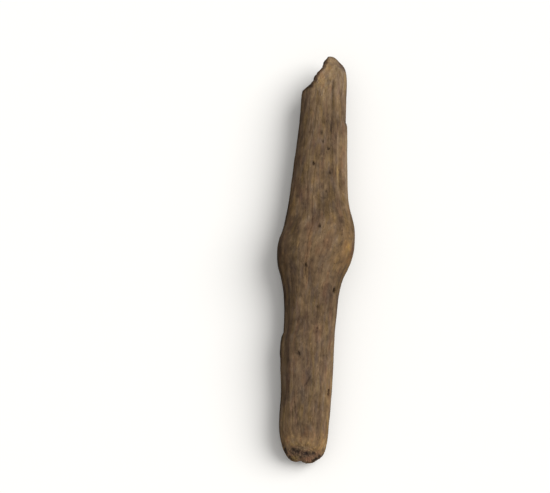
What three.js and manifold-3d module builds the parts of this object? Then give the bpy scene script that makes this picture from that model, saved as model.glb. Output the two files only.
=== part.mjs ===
// A piece of driftwood: one sea-worn stick, laid down on a surface.
//
// Millimetres, +Z up. The stick lies along Y, with its broken, splintered end at +Y
// and its blunt, worn end at -Y. X runs across it. It rests on z = 0 on two worn
// flats: one under the swollen knot, and one under the blunt end. Between them the
// underside is hollowed, and the broken end overhangs.
//
// The surface is a run of closed sections across Y. Each section is a soft
// superellipse with its own left, right, upper and lower limits, made uneven by a
// few low waves. The oblique break, the split, the checks, the worm holes, the pits
// of the blunt end and the two flats are then cut out of it.

import * as THREE from "three";
import { mergeVertices } from "three/addons/utils/BufferGeometryUtils.js";
import Module from "manifold-3d";

const wasm = await Module();
wasm.setup();

// ---------------------------------------------------------------- dimensions

// Left and right limit of the outline, seen from above: [y, x].
const LEFT = [
  [-133.4, -3.6], [-133.0, -5.2], [-132.0, -7.4], [-130.5, -9.2], [-128.5, -11.1],
  [-126.5, -12.5], [-123.5, -13.8], [-119.5, -15.0], [-114.5, -16.1], [-108.5, -16.55],
  [-102.5, -16.6], [-94.5, -16.4], [-86.5, -16.75], [-78.5, -17.5], [-70.5, -18.1],
  [-65.5, -18.75], [-60.5, -18.65], [-56.5, -18.3], [-52.5, -17.25], [-46.5, -17.3],
  [-38.5, -17.7], [-30.5, -18.4], [-22.5, -19.7], [-16.5, -21.25], [-10.5, -23.3],
  [-4.5, -24.35], [1.5, -24.6], [6.5, -23.9], [11.5, -22.4], [17.5, -21.15],
  [23.5, -20.3], [29.5, -19.55], [37.5, -18.85], [45.5, -18.45], [53.5, -17.9],
  [61.5, -17.5], [71.5, -16.5], [81.5, -15.8], [88.5, -15.4], [95.5, -15.3],
  [103.5, -15.1], [108, -14.8], [113, -14.0], [118, -12.4], [123, -9.9],
  [127.5, -7.2], [131, -4.4], [133.4, -1.2],
];
const RIGHT = [
  [-133.4, 4.2], [-133.0, 6.0], [-132.0, 7.6], [-130.5, 9.4], [-128.5, 11.5],
  [-126.5, 12.6], [-123.5, 13.45], [-119.5, 14.1], [-114.5, 14.45], [-108.5, 14.6],
  [-102.5, 14.9], [-94.5, 14.95], [-86.5, 15.15], [-78.5, 15.15], [-60.5, 15.15],
  [-52.5, 15.2], [-46.5, 15.35], [-38.5, 15.75], [-30.5, 16.35], [-22.5, 17.2],
  [-16.5, 18.55], [-10.5, 21.1], [-4.5, 23.25], [1.5, 24.4], [6.5, 24.65],
  [11.5, 24.55], [17.5, 24.0], [23.5, 22.5], [29.5, 20.7], [37.5, 19.2],
  [45.5, 18.4], [53.5, 17.9], [61.5, 17.45], [71.5, 16.95], [81.5, 16.4],
  [86.2, 15.95], [88.3, 14.7], [95.5, 14.5], [103.5, 14.25], [110.5, 14.1],
  [115.5, 14.0], [118.5, 13.75], [121.5, 13.35], [124.5, 12.75], [126.5, 12.15],
  [128.5, 11.0], [130.5, 8.9], [131.5, 7.8], [132.5, 6.5], [133.4, 4.8],
];
// Upper and lower limit, seen from the side: [y, z].
const UPPER = [
  [-133.4, 11.4], [-133.0, 12.6], [-132.0, 14.2], [-130.5, 16.0], [-128.5, 18.2],
  [-126.5, 20.3], [-124.5, 22.0], [-122.0, 23.3], [-119.0, 24.3], [-114.5, 25.0],
  [-108.0, 25.6], [-97.0, 26.7], [-85.0, 28.0], [-72.0, 29.3], [-62.0, 29.8],
  [-52.0, 29.3], [-43.0, 28.9], [-34.0, 29.2], [-27.0, 30.0], [-20.0, 31.6],
  [-12.0, 34.1], [-4.0, 36.3], [3.0, 37.0], [10.0, 36.4], [17.0, 34.8],
  [25.0, 32.9], [35.0, 31.3], [50.0, 30.1], [68.0, 29.4], [86.0, 28.6],
  [100.0, 27.5], [110.0, 26.4], [118.0, 24.9], [124.0, 23.4], [128.0, 22.1],
  [131.0, 20.9], [133.4, 19.5],
];
const LOWER = [
  [-133.4, 5.3], [-133.0, 4.3], [-132.0, 3.1], [-130.5, 1.9], [-128.5, 0.9],
  [-126.0, 0.1], [-122.0, -0.4], [-116.0, -0.5], [-110.0, -0.2], [-103.0, 0.35],
  [-93.0, 1.2], [-80.0, 2.1], [-60.0, 2.7], [-44.0, 2.9], [-30.0, 2.1],
  [-22.0, 1.1], [-14.0, 0.1], [-6.0, -0.4], [2.0, -0.5], [10.0, -0.35],
  [18.0, 0.4], [28.0, 1.6], [40.0, 2.6], [55.0, 3.4], [73.0, 4.3],
  [88.0, 5.2], [100.0, 6.1], [110.0, 7.2], [118.0, 8.8], [124.0, 10.6],
  [128.0, 12.4], [131.0, 14.2], [133.4, 16.3],
];
// The two ends, where the sections close.
const BLUNT_TIP = [0.6, -133.7, 8.2];
const BROKEN_TIP = [2.4, 134.0, 18.0];

// The oblique break at the upper left of the broken end, seen from above: [x, y].
const BREAK = [
  [-15.6, 106.0], [-14.4, 108.2], [-13.9, 110.3], [-13.2, 111.4], [-12.0, 112.9],
  [-11.0, 114.3], [-9.2, 115.2], [-8.2, 117.2], [-7.1, 118.7], [-6.5, 120.4],
  [-5.1, 121.6], [-4.3, 123.5], [-3.2, 124.9], [-2.9, 127.8], [-2.3, 129.4],
  [-1.9, 131.3], [-0.7, 132.6], [0.4, 136.0],
];
const BREAK_LEAN = 0.16; // how far the break face draws back for each mm down

// Worm holes and pits: [x, y, diameter, depth], bored square to the upper surface.
const HOLES = [
  [-4.8, 56.1, 2.2, 3.6], [4.4, 66.6, 1.7, 2.2], [-0.7, 77.5, 1.5, 1.8],
  [0.6, 71.4, 1.4, 1.6], [6.4, 50.9, 1.7, 2.2], [1.3, 13.1, 2.0, 3.0],
  [-5.8, -12.7, 2.0, 2.6], [13.6, -25.8, 2.4, 4.5], [-6.9, -68.4, 2.5, 3.8],
  [3.9, -51.1, 1.5, 1.6], [3.2, -37.5, 1.4, 1.4], [14.0, -89.9, 2.6, 4.5],
];
// The same on the underside, which is out of sight as it lies: [x, y, diameter, depth].
const LOWER_HOLES = [
  [5.2, 62.0, 2.0, 3.0], [-6.5, 44.5, 2.3, 3.6], [7.0, -38.0, 2.1, 3.4],
  [-3.0, -63.5, 1.8, 2.4], [4.2, -88.0, 2.4, 3.2],
];

// Splits and drying checks along the grain: a polyline over the upper surface,
// [x, y], with the width and depth at its middle.
const CHECKS = [
  { width: 1.9, depth: 2.4, line: [[5.5, 125.5], [5.3, 119], [4.9, 111], [4.8, 102.3], [5.4, 86.7], [5.7, 74.0]] },
  { width: 0.9, depth: 1.6, line: [[-7.7, -96.5], [-7.4, -100], [-6.6, -106.5]] },
  { width: 0.9, depth: 1.4, line: [[1.6, -80.6], [0.2, -84.2], [-2.6, -89.6]] },
];

// The hollow, rotten heart of the blunt end: ellipsoids [x, y, z, rx, ry, rz].
const PITS = [
  [-8.0, -128.9, 19.6, 3.0, 2.2, 2.4],
  [-3.4, -130.6, 18.6, 3.4, 2.2, 2.2],
  [0.9, -131.2, 18.4, 2.6, 2.0, 2.4],
  [6.2, -129.9, 18.6, 3.0, 1.8, 2.0],
  [-1.9, -135.0, 12.0, 1.6, 2.6, 7.0],
];

const WOOD = new THREE.MeshStandardMaterial({
  name: "weathered_wood", color: new THREE.Color(0.150, 0.096, 0.056),
  roughness: 0.86, metalness: 0,
});

// ------------------------------------------------------------------- helpers

// Monotone cubic curve through [position, value] pairs.
function curve(points) {
  const n = points.length;
  const h = [], s = [], m = new Array(n).fill(0);
  for (let i = 0; i < n - 1; i++) {
    h.push(points[i + 1][0] - points[i][0]);
    s.push((points[i + 1][1] - points[i][1]) / h[i]);
  }
  m[0] = s[0];
  m[n - 1] = s[n - 2];
  for (let i = 1; i < n - 1; i++) {
    if (s[i - 1] * s[i] <= 0) continue;
    const a = 2 * h[i] + h[i - 1], b = h[i] + 2 * h[i - 1];
    m[i] = (a + b) / (a / s[i - 1] + b / s[i]);
  }
  return (y) => {
    if (y <= points[0][0]) return points[0][1];
    if (y >= points[n - 1][0]) return points[n - 1][1];
    let i = 0;
    while (y > points[i + 1][0]) i++;
    const t = (y - points[i][0]) / h[i], t2 = t * t, t3 = t2 * t;
    return (2 * t3 - 3 * t2 + 1) * points[i][1] + (t3 - 2 * t2 + t) * h[i] * m[i] +
      (3 * t2 - 2 * t3) * points[i + 1][1] + (t3 - t2) * h[i] * m[i + 1];
  };
}

const left = curve(LEFT), right = curve(RIGHT), upper = curve(UPPER), lower = curve(LOWER);
const smooth = (a, b, v) => {
  const t = Math.min(1, Math.max(0, (v - a) / (b - a)));
  return t * t * (3 - 2 * t);
};
const bump = (v, at, half) => Math.exp(-(((v - at) / half) ** 2));

// The low waves that keep a section from being a plain oval, in mm.
function waves(y, angle) {
  const u = y / 100;
  const ends = smooth(-134, -122, y) * (1 - smooth(118, 133, y));
  return ends * (
    0.60 * Math.cos(2 * (angle - 0.9 - 0.9 * Math.sin(1.7 * u + 0.4))) * Math.sin(2.3 * u + 1.1) +
    0.55 * Math.cos(3 * (angle - 0.5 - 0.5 * Math.sin(2.4 * u))) * (0.7 + 0.5 * Math.sin(3.1 * u + 2.0)) +
    0.22 * Math.cos(4 * (angle + 0.3 + 0.35 * Math.sin(3.3 * u + 1.0))) * Math.sin(4.1 * u + 0.6) +
    0.22 * Math.cos(5 * (angle + 0.25 * Math.sin(2.9 * u + 2.2))) * Math.sin(5.3 * u + 2.4)
  );
}

// The shape features that run along the wood, in mm outwards.
function relief(y, angle) {
  const deg = (angle * 180) / Math.PI; // 0 is right, 90 is up, 180 is left
  const wrap = (at) => ((deg - at + 540) % 360) - 180;
  let d = 0;
  // raised strip along the right edge, with a furrow on its inner side
  const run = smooth(18, 34, y) * (1 - smooth(84.5, 87.5, y));
  d += run * 0.65 * bump(wrap(25), 0, 8);
  d -= run * 0.85 * bump(wrap(43), 0, 7.5);
  // a layer has come away on the right side above the strip
  d -= smooth(86.4, 88.6, y) * (1 - smooth(112, 126, y)) * 0.7 * bump(wrap(22), 0, 20);
  // shoulder between the split and the right edge of the broken end
  d += smooth(76, 92, y) * (1 - smooth(122, 131, y)) * 0.7 * bump(wrap(46), 0, 13);
  // broad furrow on the left flank, and one underneath
  d -= smooth(-100, -70, y) * (1 - smooth(-30, -12, y)) * 0.7 * bump(wrap(152), 0, 12);
  d -= smooth(22, 45, y) * (1 - smooth(92, 112, y)) * 0.9 * bump(wrap(236), 0, 13);
  d -= smooth(-95, -70, y) * (1 - smooth(-40, -20, y)) * 0.9 * bump(wrap(292), 0, 12);
  // the knot: a worn boss low on its right side and one low on the left
  d += 1.3 * bump(y, 4, 9) * bump(wrap(318), 0, 17);
  d += 0.8 * bump(y, -2, 11) * bump(wrap(222), 0, 20);
  d -= 0.9 * bump(y, 17, 6) * bump(wrap(338), 0, 14);
  return d;
}

const ANGLES = 180;
function rawSection(y) {
  const xl = left(y), xr = right(y), zu = upper(y), zl = lower(y);
  const cx = (xl + xr) / 2, cz = zl + (zu - zl) * 0.48;
  const a = (xr - xl) / 2, bu = zu - cz, bl = cz - zl;
  const point = (angle) => {
    const c = Math.cos(angle), s = Math.sin(angle);
    const n = s >= 0 ? 2.08 + 0.22 * smooth(-90, -120, y) : 2.2;
    const b = s >= 0 ? bu : bl;
    const r = (Math.abs(c / a) ** n + Math.abs(s / b) ** n) ** (-1 / n);
    return r + waves(y, angle);
  };
  return { xl, xr, zu, zl, cx, cz, point };
}

// A section as a function of the angle. The waved outline is fitted back to the
// section's limits, so that the stick keeps its measured outline.
function section(y) {
  const raw = rawSection(y);
  let x0 = 1e9, x1 = -1e9, z0 = 1e9, z1 = -1e9;
  for (let i = 0; i < ANGLES; i++) {
    const angle = (i / ANGLES) * 2 * Math.PI, r = raw.point(angle);
    const x = r * Math.cos(angle), z = r * Math.sin(angle);
    x0 = Math.min(x0, x); x1 = Math.max(x1, x);
    z0 = Math.min(z0, z); z1 = Math.max(z1, z);
  }
  const kx = (raw.xr - raw.xl) / (x1 - x0), kz = (raw.zu - raw.zl) / (z1 - z0);
  return (angle) => {
    const r = raw.point(angle), d = relief(y, angle);
    const c = Math.cos(angle), s = Math.sin(angle);
    return [raw.xl + (r * c - x0) * kx + d * c, y, raw.zl + (r * s - z0) * kz + d * s];
  };
}

// Highest or lowest z of the uncut surface at a point seen from above or below.
function surfaceAt(x, y, above = true) {
  const at = section(y);
  let best = above ? -1e9 : 1e9;
  let previous = at(0);
  for (let i = 1; i <= 360; i++) {
    const p = at((i / 360) * 2 * Math.PI);
    if ((previous[0] - x) * (p[0] - x) <= 0 && previous[0] !== p[0]) {
      const z = previous[2] + ((x - previous[0]) / (p[0] - previous[0])) * (p[2] - previous[2]);
      best = above ? Math.max(best, z) : Math.min(best, z);
    }
    previous = p;
  }
  return best;
}

function geometry(positions, indices) {
  const g = new THREE.BufferGeometry();
  g.setAttribute("position", new THREE.Float32BufferAttribute(positions, 3));
  g.setIndex(indices);
  return g;
}

function solid(g) {
  const bare = g.clone();
  bare.deleteAttribute("normal");
  bare.deleteAttribute("uv");
  const merged = mergeVertices(bare, 1e-4);
  return new wasm.Manifold(new wasm.Mesh({
    numProp: 3,
    vertProperties: new Float32Array(merged.attributes.position.array),
    triVerts: new Uint32Array(merged.index.array),
  }));
}

// ---------------------------------------------------------------- the stick

// Sections lie closer where the shape turns: at the ends, the knot and the ledge.
function rows() {
  const ys = [-133.4, -133.0, -132.0, -130.6, -128.9, -127.0, -124.9, -122.6, -120.0, -117.0, -113.6];
  const step = (y) => {
    if (y < -70) return 4.1;
    if (y < -48) return 3.2;
    if (y < -24) return 3.8;
    if (y < 34) return 2.7;
    if (y < 80) return 3.9;
    if (y < 84) return 2.8;
    if (y < 90) return 1.2;
    if (y < 104) return 3.1;
    if (y < 124) return 2.3;
    if (y < 130) return 1.6;
    return 1.1;
  };
  for (let y = -110.0; y < 133.0; y += step(y)) ys.push(y);
  ys.push(133.4);
  return ys;
}

// Angles lie closer on the upper side, where the relief is finer.
function angles(count) {
  const list = [];
  for (let i = 0; i < count; i++) {
    const t = (i / count) * 2 * Math.PI;
    list.push(t + 0.16 * Math.cos(t));
  }
  return list;
}

function stick() {
  const ys = rows(), turn = angles(46), n = turn.length;
  const positions = [], indices = [];
  for (const y of ys) {
    const at = section(y);
    for (const angle of turn) positions.push(...at(angle));
  }
  for (let r = 0; r < ys.length - 1; r++) {
    for (let i = 0; i < n; i++) {
      const a = r * n + i, b = r * n + ((i + 1) % n), c = a + n, d = b + n;
      if ((r + i) % 2) indices.push(a, c, b, b, c, d);
      else indices.push(a, c, d, a, d, b);
    }
  }
  const first = positions.length / 3;
  positions.push(...BLUNT_TIP, ...BROKEN_TIP);
  const top = (ys.length - 1) * n;
  for (let i = 0; i < n; i++) {
    indices.push(first, i, (i + 1) % n);
    indices.push(first + 1, top + ((i + 1) % n), top + i);
  }
  return geometry(positions, indices);
}

// ----------------------------------------------------------------- the cuts

// The material outside the break: the outline seen from above, drawn back with depth
// and roughened, so that the torn face is uneven along the fibres.
function breakCutter() {
  const levels = [38, 31, 26, 22.5, 19, 15.5, 12, 8, 0, -6];
  const positions = [], indices = [];
  const outline = [...BREAK, [-34, 150], [-40, 106.0]];
  const n = outline.length;
  levels.forEach((z, k) => {
    outline.forEach(([x, y], i) => {
      const edge = i < BREAK.length;
      const drop = Math.max(0, 26 - z);
      const tear = edge ? 0.55 * Math.sin(2.1 * i + 1.7 * k) * Math.min(1, drop / 3) : 0;
      const lean = edge ? BREAK_LEAN * drop : 0;
      positions.push(x + lean + tear, y - 0.7 * lean + 0.4 * tear, z);
    });
  });
  for (let k = 0; k < levels.length - 1; k++) {
    for (let i = 0; i < n; i++) {
      const j = (i + 1) % n, a = k * n + i, b = k * n + j, c = a + n, d = b + n;
      indices.push(a, b, c, b, d, c);
    }
  }
  const flat = THREE.ShapeUtils.triangulateShape(outline.map(([x, y]) => new THREE.Vector2(x, y)), []);
  const base = (levels.length - 1) * n;
  for (const [a, b, c] of flat) {
    indices.push(c, b, a);
    indices.push(base + a, base + b, base + c);
  }
  return geometry(positions, indices);
}

// The lower end of the outline of a closed cutter can come out inside out, since the
// outline's turn depends on how it was drawn; this sets it right.
function outward(g) {
  const p = g.attributes.position, index = g.index.array;
  let volume = 0;
  const a = new THREE.Vector3(), b = new THREE.Vector3(), c = new THREE.Vector3();
  for (let i = 0; i < index.length; i += 3) {
    a.fromBufferAttribute(p, index[i]);
    b.fromBufferAttribute(p, index[i + 1]);
    c.fromBufferAttribute(p, index[i + 2]);
    volume += a.dot(b.cross(c));
  }
  if (volume > 0) return g;
  const turned = Array.from(index);
  for (let i = 0; i < turned.length; i += 3) [turned[i + 1], turned[i + 2]] = [turned[i + 2], turned[i + 1]];
  g.setIndex(turned);
  return g;
}

// A wedge that follows a line over the upper surface: wide above, sharp below.
function checkCutter({ width, depth, line }) {
  const path = new THREE.CatmullRomCurve3(line.map(([x, y]) => new THREE.Vector3(x, y, 0)));
  const steps = Math.max(6, Math.round(path.getLength() / 4));
  const positions = [], indices = [];
  for (let i = 0; i <= steps; i++) {
    const t = i / steps, p = path.getPoint(t), q = path.getTangent(t);
    const across = new THREE.Vector2(q.y, -q.x).normalize();
    const share = Math.max(0.12, Math.sin(Math.PI * (0.06 + 0.88 * t)));
    const z = surfaceAt(p.x, p.y);
    const w = (width / 2) * share, lift = 1.2, deep = depth * share;
    const spread = 1 + lift / deep;
    positions.push(p.x - across.x * w * spread, p.y - across.y * w * spread, z + lift);
    positions.push(p.x + across.x * w * spread, p.y + across.y * w * spread, z + lift);
    positions.push(p.x, p.y, z - deep);
  }
  for (let i = 0; i < steps; i++) {
    for (let k = 0; k < 3; k++) {
      const a = i * 3 + k, b = i * 3 + ((k + 1) % 3);
      indices.push(a, b, a + 3, b, b + 3, a + 3);
    }
  }
  const last = steps * 3;
  indices.push(2, 1, 0, last, last + 1, last + 2);
  return outward(geometry(positions, indices));
}

function holeCutter([x, y, diameter, depth], above) {
  const e = 0.8;
  const slope = (surfaceAt(x + e, y, above) - surfaceAt(x - e, y, above)) / (2 * e);
  const rise = (surfaceAt(x, y + e, above) - surfaceAt(x, y - e, above)) / (2 * e);
  const normal = new THREE.Vector3(-slope, -rise, 1).normalize();
  if (!above) normal.negate();
  const g = new THREE.CylinderGeometry(diameter / 2, diameter * 0.36, depth + 2, 8, 1);
  g.translate(0, 1 - depth / 2, 0);
  g.applyQuaternion(new THREE.Quaternion().setFromUnitVectors(new THREE.Vector3(0, 1, 0), normal));
  g.translate(x, y, surfaceAt(x, y, above));
  return g;
}

function pitCutter([x, y, z, rx, ry, rz]) {
  const g = new THREE.SphereGeometry(1, 8, 6);
  g.scale(rx, ry, rz);
  g.translate(x, y, z);
  return g;
}

let wood = solid(stick());
wood = wood.subtract(solid(outward(breakCutter())));
for (const check of CHECKS) wood = wood.subtract(solid(checkCutter(check)));
for (const hole of HOLES) wood = wood.subtract(solid(holeCutter(hole, true)));
for (const hole of LOWER_HOLES) wood = wood.subtract(solid(holeCutter(hole, false)));
for (const pit of PITS) wood = wood.subtract(solid(pitCutter(pit)));
const ground = new THREE.BoxGeometry(120, 400, 20);
ground.translate(0, 0, -10);
wood = wood.subtract(solid(ground));

const result = wood.getMesh();
const finished = geometry(Array.from(result.vertProperties), Array.from(result.triVerts));
finished.computeBoundingBox();
const { min, max } = finished.boundingBox;
finished.translate(-(min.x + max.x) / 2, -(min.y + max.y) / 2, -min.z);

const flatShaded = finished.toNonIndexed();
flatShaded.computeVertexNormals();
const mesh = new THREE.Mesh(flatShaded, WOOD);
mesh.name = "driftwood";

const driftwood = new THREE.Group();
driftwood.add(mesh);

export default driftwood;
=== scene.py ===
"""Looks of a piece of driftwood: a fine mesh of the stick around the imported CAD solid,
with a procedural weathered-wood material, on a plain pale floor in soft studio light.

Lengths are worked out in millimetres and written to the meshes in metres, in the frame
of the CAD part: +Y towards the broken end, +Z up, z = 0 the surface it lies on.
"""

import math

import bpy
import numpy as np
from mathutils import Matrix, Vector


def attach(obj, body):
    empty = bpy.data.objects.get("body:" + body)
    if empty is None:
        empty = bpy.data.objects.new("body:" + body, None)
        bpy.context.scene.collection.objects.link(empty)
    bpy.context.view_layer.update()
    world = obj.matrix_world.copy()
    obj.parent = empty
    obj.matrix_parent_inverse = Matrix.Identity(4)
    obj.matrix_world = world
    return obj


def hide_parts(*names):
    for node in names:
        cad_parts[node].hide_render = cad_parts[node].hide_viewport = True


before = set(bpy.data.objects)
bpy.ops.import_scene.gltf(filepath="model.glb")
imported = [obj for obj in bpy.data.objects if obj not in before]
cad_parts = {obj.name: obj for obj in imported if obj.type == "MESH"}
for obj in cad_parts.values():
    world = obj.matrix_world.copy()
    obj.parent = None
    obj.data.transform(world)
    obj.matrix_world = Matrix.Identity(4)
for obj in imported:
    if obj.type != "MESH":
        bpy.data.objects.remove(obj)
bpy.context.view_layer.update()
MM = 0.001

# ------------------------------------------------------------------ the stick's shape
# Left and right limit of the outline seen from above, upper and lower limit seen from
# the side: (y, value). These are the CAD part's own limits.
LEFT = [
    (-133.4, -4.4), (-133.0, -6.2), (-132.0, -8.2), (-130.5, -9.8), (-128.5, -11.2),
    (-126.5, -12.5), (-123.5, -13.8), (-119.5, -15.0), (-114.5, -16.1), (-108.5, -16.55),
    (-102.5, -16.6), (-94.5, -16.4), (-86.5, -16.75), (-78.5, -17.5), (-70.5, -18.1),
    (-65.5, -18.75), (-60.5, -18.65), (-56.5, -18.3), (-52.5, -17.25), (-46.5, -17.3),
    (-38.5, -17.7), (-30.5, -18.4), (-22.5, -19.7), (-16.5, -21.25), (-10.5, -23.3),
    (-4.5, -24.35), (1.5, -24.6), (6.5, -23.9), (11.5, -22.4), (17.5, -21.15),
    (23.5, -20.3), (29.5, -19.55), (37.5, -18.85), (45.5, -18.45), (53.5, -17.9),
    (61.5, -17.5), (71.5, -16.5), (81.5, -15.8), (88.5, -15.4), (95.5, -15.3),
    (103.5, -15.1), (108, -14.8), (113, -14.0), (118, -12.4), (123, -9.9),
    (127.5, -7.2), (131, -4.4), (133.4, -1.2),
]
RIGHT = [
    (-133.4, 4.2), (-133.0, 6.0), (-132.0, 7.6), (-130.5, 9.4), (-128.5, 11.5),
    (-126.5, 12.6), (-123.5, 13.45), (-119.5, 14.1), (-114.5, 14.45), (-108.5, 14.6),
    (-102.5, 14.9), (-94.5, 14.95), (-86.5, 15.15), (-78.5, 15.15), (-60.5, 15.15),
    (-52.5, 15.2), (-46.5, 15.35), (-38.5, 15.75), (-30.5, 16.35), (-22.5, 17.2),
    (-16.5, 18.55), (-10.5, 21.1), (-4.5, 23.25), (1.5, 24.4), (6.5, 24.65),
    (11.5, 24.55), (17.5, 24.0), (23.5, 22.5), (29.5, 20.7), (37.5, 19.2),
    (45.5, 18.4), (53.5, 17.9), (61.5, 17.45), (71.5, 16.95), (81.5, 16.4),
    (86.2, 15.95), (88.3, 14.7), (95.5, 14.5), (103.5, 14.25), (110.5, 14.1),
    (115.5, 14.0), (118.5, 13.7), (121.5, 13.15), (124.5, 12.4), (126.5, 11.65),
    (128.5, 10.3), (130.5, 8.3), (131.5, 7.4), (132.5, 6.5), (133.4, 5.3),
]
UPPER = [
    (-133.4, 11.4), (-133.0, 12.6), (-132.0, 14.2), (-130.5, 16.0), (-128.5, 18.2),
    (-126.5, 20.3), (-124.5, 22.0), (-122.0, 23.3), (-119.0, 24.3), (-114.5, 25.0),
    (-108.0, 25.6), (-97.0, 26.7), (-85.0, 28.0), (-72.0, 29.3), (-62.0, 29.8),
    (-52.0, 29.3), (-43.0, 28.9), (-34.0, 29.2), (-27.0, 30.0), (-20.0, 31.6),
    (-12.0, 34.1), (-4.0, 36.3), (3.0, 37.0), (10.0, 36.4), (17.0, 34.8),
    (25.0, 32.9), (35.0, 31.3), (50.0, 30.1), (68.0, 29.4), (86.0, 28.6),
    (100.0, 27.5), (110.0, 26.4), (118.0, 24.9), (124.0, 23.4), (128.0, 22.1),
    (131.0, 20.9), (133.4, 19.5),
]
LOWER = [
    (-133.4, 5.3), (-133.0, 4.3), (-132.0, 3.1), (-130.5, 1.9), (-128.5, 0.9),
    (-126.0, 0.1), (-122.0, -0.4), (-116.0, -0.5), (-110.0, -0.2), (-103.0, 0.35),
    (-93.0, 1.2), (-80.0, 2.1), (-60.0, 2.7), (-44.0, 2.9), (-30.0, 2.1),
    (-22.0, 1.1), (-14.0, 0.1), (-6.0, -0.4), (2.0, -0.5), (10.0, -0.35),
    (18.0, 0.4), (28.0, 1.6), (40.0, 2.6), (55.0, 3.4), (73.0, 4.3),
    (88.0, 5.2), (100.0, 6.1), (110.0, 7.2), (118.0, 8.8), (124.0, 10.6),
    (128.0, 12.4), (131.0, 14.2), (133.4, 16.3),
]
BLUNT_TIP = (0.6, -133.7, 8.2)
BROKEN_TIP = (3.0, 134.5, 18.0)
FIRST, LAST = -133.4, 133.4

# The oblique break at the upper left of the broken end, seen from above: (x, y).
BREAK = [
    (-16.0, 108.2), (-14.2, 109.4), (-12.4, 110.4), (-11.2, 111.2), (-10.3, 112.0),
    (-9.3, 112.9), (-8.6, 113.9), (-7.9, 115.0), (-7.4, 116.8), (-6.9, 118.4),
    (-6.2, 120.0), (-5.2, 121.6), (-4.1, 123.4), (-2.8, 124.7), (-1.9, 127.0),
    (-1.2, 129.4), (-0.8, 131.3), (-0.1, 132.6), (0.9, 136.0),
]

# Worm holes: x, y, diameter, depth and how much painted shade darkens them; the upper side, then the underside.
# Sand and wear have half closed most of them.
HOLES = [
    (-4.8, 56.1, 1.8, 1.1, 0.50), (4.4, 66.6, 1.5, 0.9, 0.55), (-0.9, 77.4, 1.6, 0.5, 0.30),
    (0.6, 71.4, 1.1, 0.5, 0.44), (6.0, 50.3, 1.4, 0.6, 0.28), (1.3, 13.1, 1.7, 0.9, 0.44),
    (-5.8, -12.7, 1.7, 0.8, 0.38), (13.6, -25.8, 2.3, 2.2, 0.85), (-7.1, -68.1, 2.1, 0.9, 0.40),
    (3.9, -51.1, 1.1, 0.5, 0.35), (3.2, -37.5, 1.1, 0.5, 0.26), (14.0, -89.9, 2.9, 2.4, 1.0),
]
LOWER_HOLES = [
    (5.2, 62.0, 1.9, 2.2, 0.9), (-6.5, 44.5, 2.2, 2.6, 0.95), (7.0, -38.0, 2.0, 2.4, 0.9),
    (-3.0, -63.5, 1.7, 1.6, 0.8), (4.2, -88.0, 2.3, 2.4, 0.9),
]
# Splits along the grain on the upper side: half width, depth, how much painted shade
# darkens them, the line (x, y) and how open it is along it (y, share).
CHECKS = [
    (
        0.95, 1.0, 0.44, [(5.3, 122.5), (5.1, 117), (5.0, 110), (5.2, 103), (5.4, 90), (5.4, 76), (5.1, 68)],
        [(68, 0.25), (73, 0.3), (76, 0.95), (79, 1.25), (83, 1.4), (85.5, 0.85), (88, 0.4), (92, 0.28), (98, 0.28), (101, 0.45), (104, 0.85), (107, 0.97), (111, 1.0), (113, 0.9), (116, 0.55), (119, 0.35), (122, 0.25)],
    ),
    (0.42, 0.55, 0.35, [(-7.7, -97.5), (-7.4, -101), (-6.8, -105.5)], [(-106, 1), (-97, 1)]),
    (0.50, 0.50, 0.45, [(1.2, -81.6), (0.0, -84.6), (-2.2, -88.6)], [(-89, 1), (-81, 1)]),
]


def smooth(a, b, v):
    t = np.clip((v - a) / (b - a), 0.0, 1.0)
    return t * t * (3 - 2 * t)


def bump(v, at, half):
    return np.exp(-(((v - at) / half) ** 2))


def curve(points):
    """Monotone cubic curve through (position, value) pairs, as in the CAD part."""
    p = np.array(points, float)
    x, v = p[:, 0], p[:, 1]
    h = np.diff(x)
    s = np.diff(v) / h
    m = np.zeros(len(x))
    m[0], m[-1] = s[0], s[-1]
    for i in range(1, len(x) - 1):
        if s[i - 1] * s[i] > 0:
            a, b = 2 * h[i] + h[i - 1], h[i] + 2 * h[i - 1]
            m[i] = (a + b) / (a / s[i - 1] + b / s[i])

    def at(y):
        y = np.clip(np.asarray(y, float), x[0], x[-1])
        i = np.clip(np.searchsorted(x, y, side="right") - 1, 0, len(x) - 2)
        t = (y - x[i]) / h[i]
        t2, t3 = t * t, t * t * t
        return (
            (2 * t3 - 3 * t2 + 1) * v[i]
            + (t3 - 2 * t2 + t) * h[i] * m[i]
            + (3 * t2 - 2 * t3) * v[i + 1]
            + (t3 - t2) * h[i] * m[i + 1]
        )

    return at


# The worn surface is set a little to the right of the CAD part's limits.
left = curve([(y, x + 0.35) for y, x in LEFT])
right = curve([(y, x + (0.9 if y > 87 else 0.25 if y > -32 else 0.6)) for y, x in RIGHT])
upper, lower = curve(UPPER), curve(LOWER)


def waves(y, a):
    u = y / 100
    ends = smooth(-134, -122, y) * (1 - smooth(118, 133, y))
    return ends * (
        0.60 * np.cos(2 * (a - 0.9 - 0.9 * np.sin(1.7 * u + 0.4))) * np.sin(2.3 * u + 1.1)
        + 0.55 * np.cos(3 * (a - 0.5 - 0.5 * np.sin(2.4 * u))) * (0.7 + 0.5 * np.sin(3.1 * u + 2.0))
        + 0.22 * np.cos(4 * (a + 0.3 + 0.35 * np.sin(3.3 * u + 1.0))) * np.sin(4.1 * u + 0.6)
        + 0.22 * np.cos(5 * (a + 0.25 * np.sin(2.9 * u + 2.2))) * np.sin(5.3 * u + 2.4)
    )


def turned(a, at):
    """Degrees from the angle at to a, between -180 and 180."""
    return (np.degrees(a) - at + 540) % 360 - 180


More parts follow.
